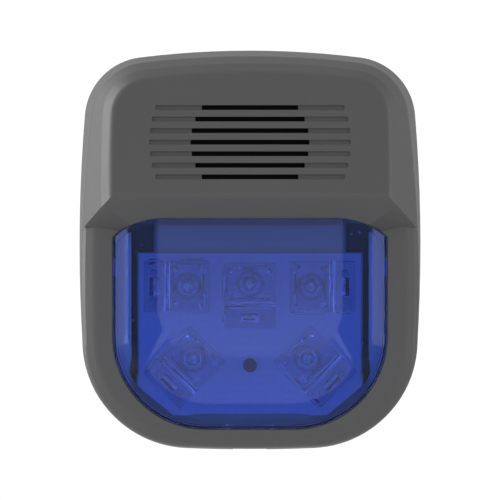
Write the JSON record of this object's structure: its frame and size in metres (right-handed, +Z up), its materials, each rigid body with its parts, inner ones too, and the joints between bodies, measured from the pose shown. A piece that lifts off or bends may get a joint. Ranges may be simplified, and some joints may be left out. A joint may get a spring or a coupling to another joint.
{
  "type": "alarm horn and light beacon",
  "caption": "Wall-mounted alarm horn with a slotted grille under a hooded face and a clear blue lens over an LED beacon, hinged on a mounting plate.",
  "frame": {"origin": "centre of the wall-box screw pattern, on the wall plane (back face of the mounting plate)", "axes": "+Z up, +Y into the wall, so the face looks along -Y; +X to the viewer's right"},
  "size_m": [0.1214, 0.0418, 0.142],
  "materials": {
    "housing_grey": "fine matt texture",
    "lens_blue": "clear polished",
    "tray_grey": "satin",
    "board_white": "solder mask",
    "optic_clear": "clear polished",
    "led_yellow": "phosphor dome",
    "screw_black": "black passivated",
    "screw_steel": "zinc plated",
    "plate_grey": "satin",
    "terminal_black": "satin",
    "brass": "plain",
    "contact_tin": "tin plated",
    "cover_black": "satin",
    "board_green": "solder mask",
    "chip_black": "moulded epoxy",
    "capacitor_sleeve": "shrunk sleeve",
    "ferrite": "sintered",
    "copper_wire": "enamelled copper",
    "sounder_black": "satin",
    "ceramic_disc": "silvered",
    "lead_sleeve": "wire sleeve",
    "screen_cloth": "woven",
    "switch_body": "satin",
    "knob_white": "satin",
    "mode_switch_red": "moulded"
  },
  "bodies": {
    "plate": {"mounting_plate": "plate_grey", "lock_insert": "brass", "terminal_block": "terminal_black", "plate_contacts": "contact_tin"},
    "head": {"front_housing": "housing_grey", "lens": "lens_blue", "light_tray": "tray_grey", "led_board": "board_white", "led_emitters": "led_yellow", "led_board_screw": "screw_black", "sounder_cup": "sounder_black", "sounder_cap": "sounder_black", "piezo_plate": "brass", "piezo_ceramic": "ceramic_disc", "piezo_leads": "lead_sleeve", "grille_screen": "screen_cloth", "rear_cover": "cover_black", "main_board": "board_green", "board_chips": "chip_black", "capacitors": "capacitor_sleeve", "inductor_core": "ferrite", "inductor_winding": "copper_wire", "link_header": "terminal_black", "contact_pins": "contact_tin", "candela_switch": "switch_body", "mode_switch": "mode_switch_red", "cover_screws": "screw_steel", "tray_screws": "screw_steel", "board_screws": "screw_steel", "optic_left": "optic_clear", "optic_lower_left": "optic_clear", "optic_centre": "optic_clear", "optic_lower_right": "optic_clear", "optic_right": "optic_clear"},
    "lock_washer": {"lock_washer": "screw_steel"},
    "lock_screw": {"lock_screw": "screw_steel"},
    "candela_knob": {"candela_knob": "knob_white"},
    "terminal_clamp_1": {"terminal_clamp_1": "contact_tin"},
    "terminal_screw_1": {"terminal_screw_1": "screw_steel"},
    "terminal_clamp_2": {"terminal_clamp_2": "contact_tin"},
    "terminal_screw_2": {"terminal_screw_2": "screw_steel"},
    "terminal_clamp_3": {"terminal_clamp_3": "contact_tin"},
    "terminal_screw_3": {"terminal_screw_3": "screw_steel"},
    "terminal_clamp_4": {"terminal_clamp_4": "contact_tin"},
    "terminal_screw_4": {"terminal_screw_4": "screw_steel"},
    "mode_knob_1": {"mode_knob_1": "knob_white"},
    "mode_knob_2": {"mode_knob_2": "knob_white"},
    "mode_knob_3": {"mode_knob_3": "knob_white"}
  },
  "joints": [
    {"name": "head_swing", "type": "hinge", "parent": "plate", "child": "head", "pos_m": [0, -0.007, 0.0635], "axis": [-1, 0, 0], "range_deg": [0, 20]},
    {"name": "lock_screw_turn", "type": "hinge", "parent": "lock_washer", "child": "lock_screw", "pos_m": [0, -0.0075, -0.0691], "axis": [0, 0, -1], "range_deg": [0, 1543]},
    {"name": "lock_screw_travel", "type": "slide", "parent": "plate", "child": "lock_washer", "axis": [0, 0, -1], "range_m": [0, 0.003]},
    {"name": "candela_slide", "type": "slide", "parent": "head", "child": "candela_knob", "axis": [1, 0, 0], "range_m": [0, 0.0075]},
    {"name": "terminal_screw_1_turn", "type": "hinge", "parent": "plate", "child": "terminal_screw_1", "pos_m": [-0.0135, -0.0112, -0.017], "axis": [0, 1, 0], "range_deg": [0, 720]},
    {"name": "terminal_clamp_1_rise", "type": "slide", "parent": "plate", "child": "terminal_clamp_1", "axis": [0, -1, 0], "range_m": [0, 0.0012]},
    {"name": "terminal_screw_2_turn", "type": "hinge", "parent": "plate", "child": "terminal_screw_2", "pos_m": [-0.0045, -0.0112, -0.017], "axis": [0, 1, 0], "range_deg": [0, 720]},
    {"name": "terminal_clamp_2_rise", "type": "slide", "parent": "plate", "child": "terminal_clamp_2", "axis": [0, -1, 0], "range_m": [0, 0.0012]},
    {"name": "terminal_screw_3_turn", "type": "hinge", "parent": "plate", "child": "terminal_screw_3", "pos_m": [0.0045, -0.0112, -0.017], "axis": [0, 1, 0], "range_deg": [0, 720]},
    {"name": "terminal_clamp_3_rise", "type": "slide", "parent": "plate", "child": "terminal_clamp_3", "axis": [0, -1, 0], "range_m": [0, 0.0012]},
    {"name": "terminal_screw_4_turn", "type": "hinge", "parent": "plate", "child": "terminal_screw_4", "pos_m": [0.0135, -0.0112, -0.017], "axis": [0, 1, 0], "range_deg": [0, 720]},
    {"name": "terminal_clamp_4_rise", "type": "slide", "parent": "plate", "child": "terminal_clamp_4", "axis": [0, -1, 0], "range_m": [0, 0.0012]},
    {"name": "mode_knob_1_slide", "type": "slide", "parent": "head", "child": "mode_knob_1", "axis": [0, 0, 1], "range_m": [0, 0.0015]},
    {"name": "mode_knob_2_slide", "type": "slide", "parent": "head", "child": "mode_knob_2", "axis": [0, 0, 1], "range_m": [0, 0.0015]},
    {"name": "mode_knob_3_slide", "type": "slide", "parent": "head", "child": "mode_knob_3", "axis": [0, 0, 1], "range_m": [0, 0.0015]}
  ],
  "couplings": [
    {"joint": "lock_screw_turn", "follows": "lock_screw_travel", "rad_per_m": 8975.9},
    {"joint": "terminal_screw_1_turn", "follows": "terminal_clamp_1_rise", "rad_per_m": 10472},
    {"joint": "terminal_screw_2_turn", "follows": "terminal_clamp_2_rise", "rad_per_m": 10472},
    {"joint": "terminal_screw_3_turn", "follows": "terminal_clamp_3_rise", "rad_per_m": 10472},
    {"joint": "terminal_screw_4_turn", "follows": "terminal_clamp_4_rise", "rad_per_m": 10472}
  ]
}
